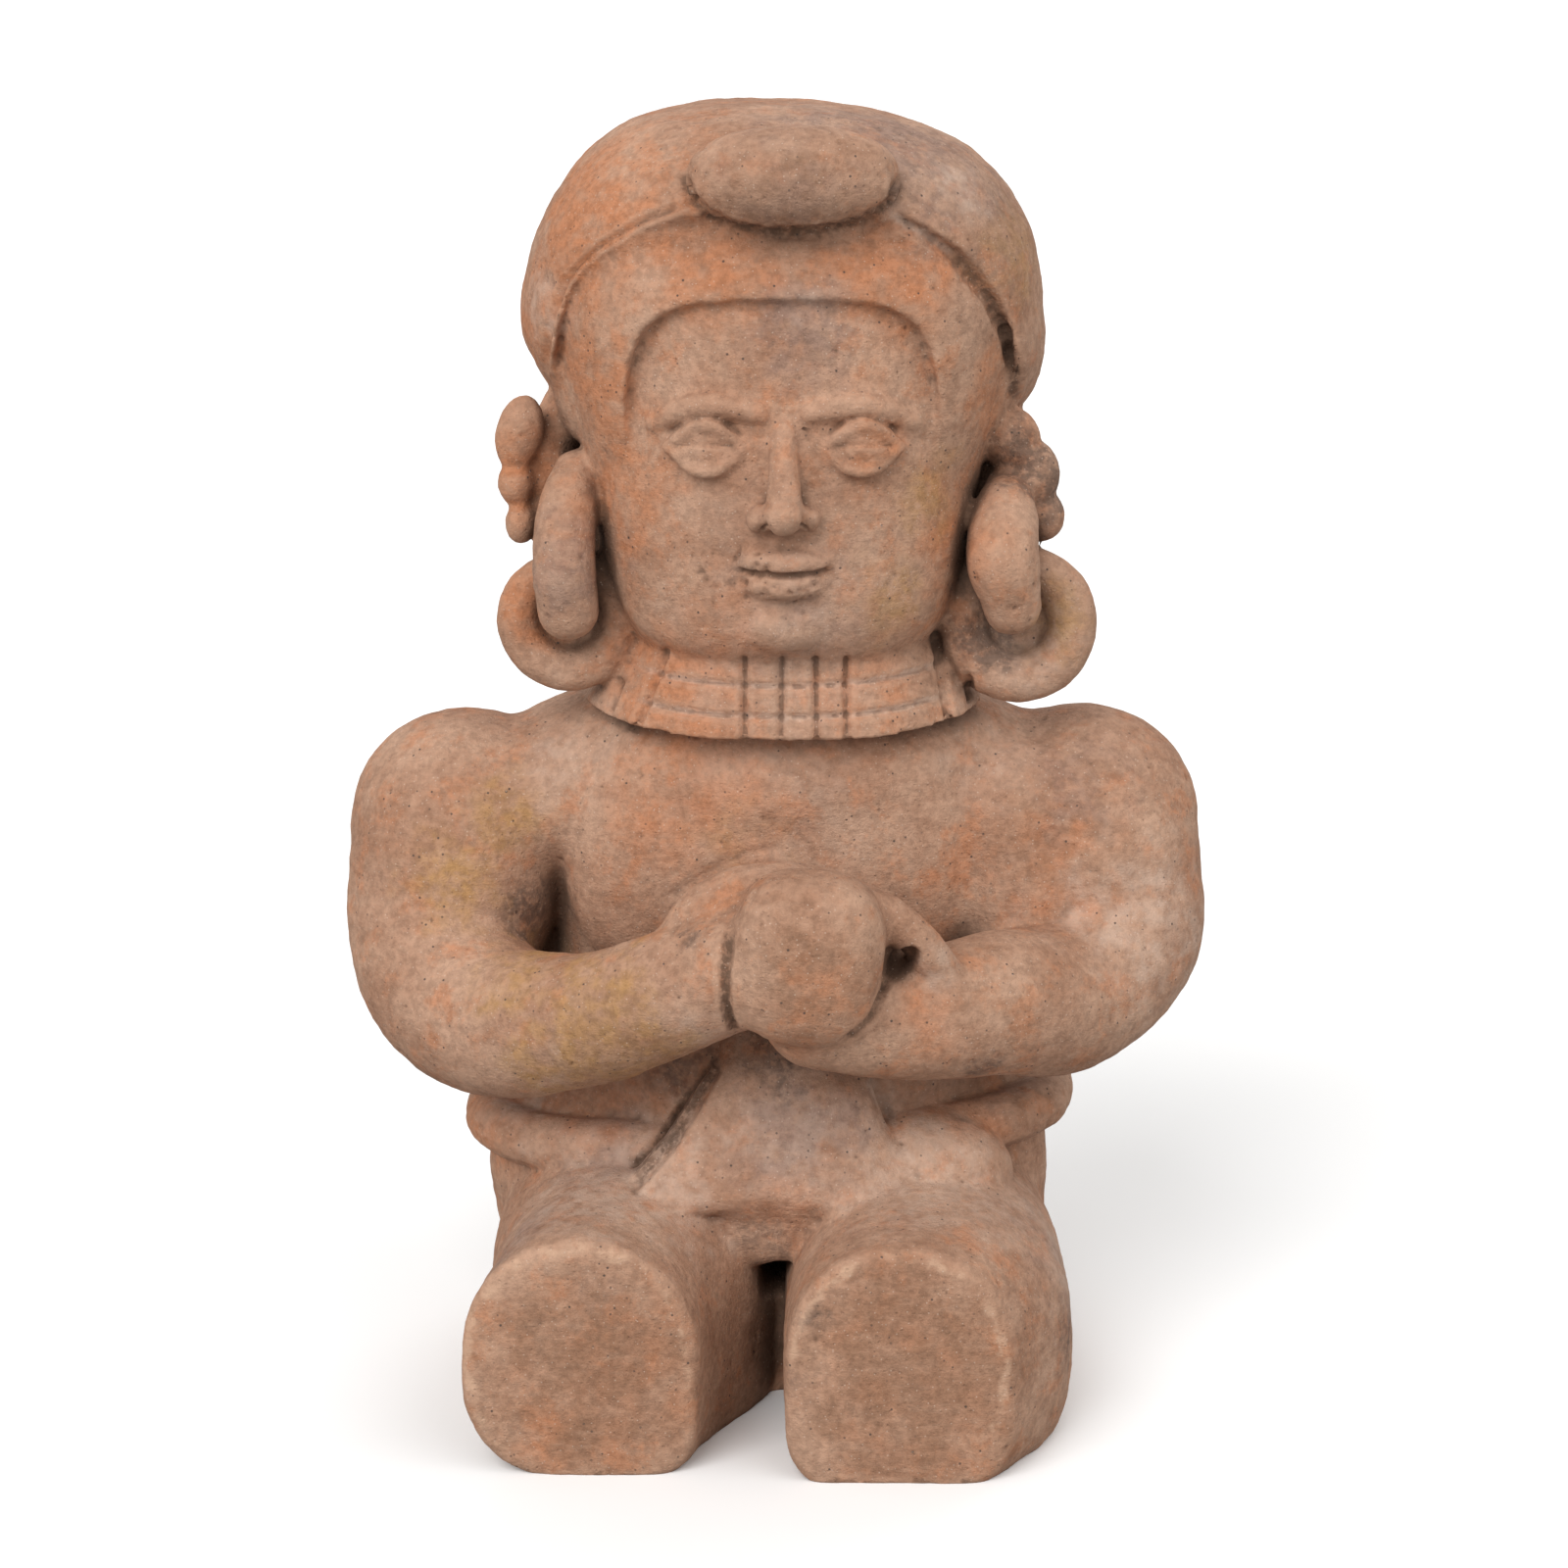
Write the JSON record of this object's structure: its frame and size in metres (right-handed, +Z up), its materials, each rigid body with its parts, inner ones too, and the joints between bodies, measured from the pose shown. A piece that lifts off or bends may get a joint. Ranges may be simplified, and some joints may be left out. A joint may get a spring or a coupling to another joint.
{
  "type": "seated ceramic shaman figure",
  "caption": "Hand-modelled fired-clay seated figure with a hooded headdress, ear rings, ribbed collar, belt and apron, arms folded hand over hand, blunt legs.",
  "frame": {"origin": "on the flat underside, below the neck: the middle of the figure's width, at the level the figure stands on", "axes": "+Z up, the figure faces -Y, +X is the right-hand side seen from in front"},
  "size_m": [0.1822, 0.1294, 0.2674],
  "materials": {
    "fired_clay": "matt unglazed fired clay, weathered"
  },
  "bodies": {
    "root": {"ceramic_figure": "fired_clay"}
  },
  "joints": []
}
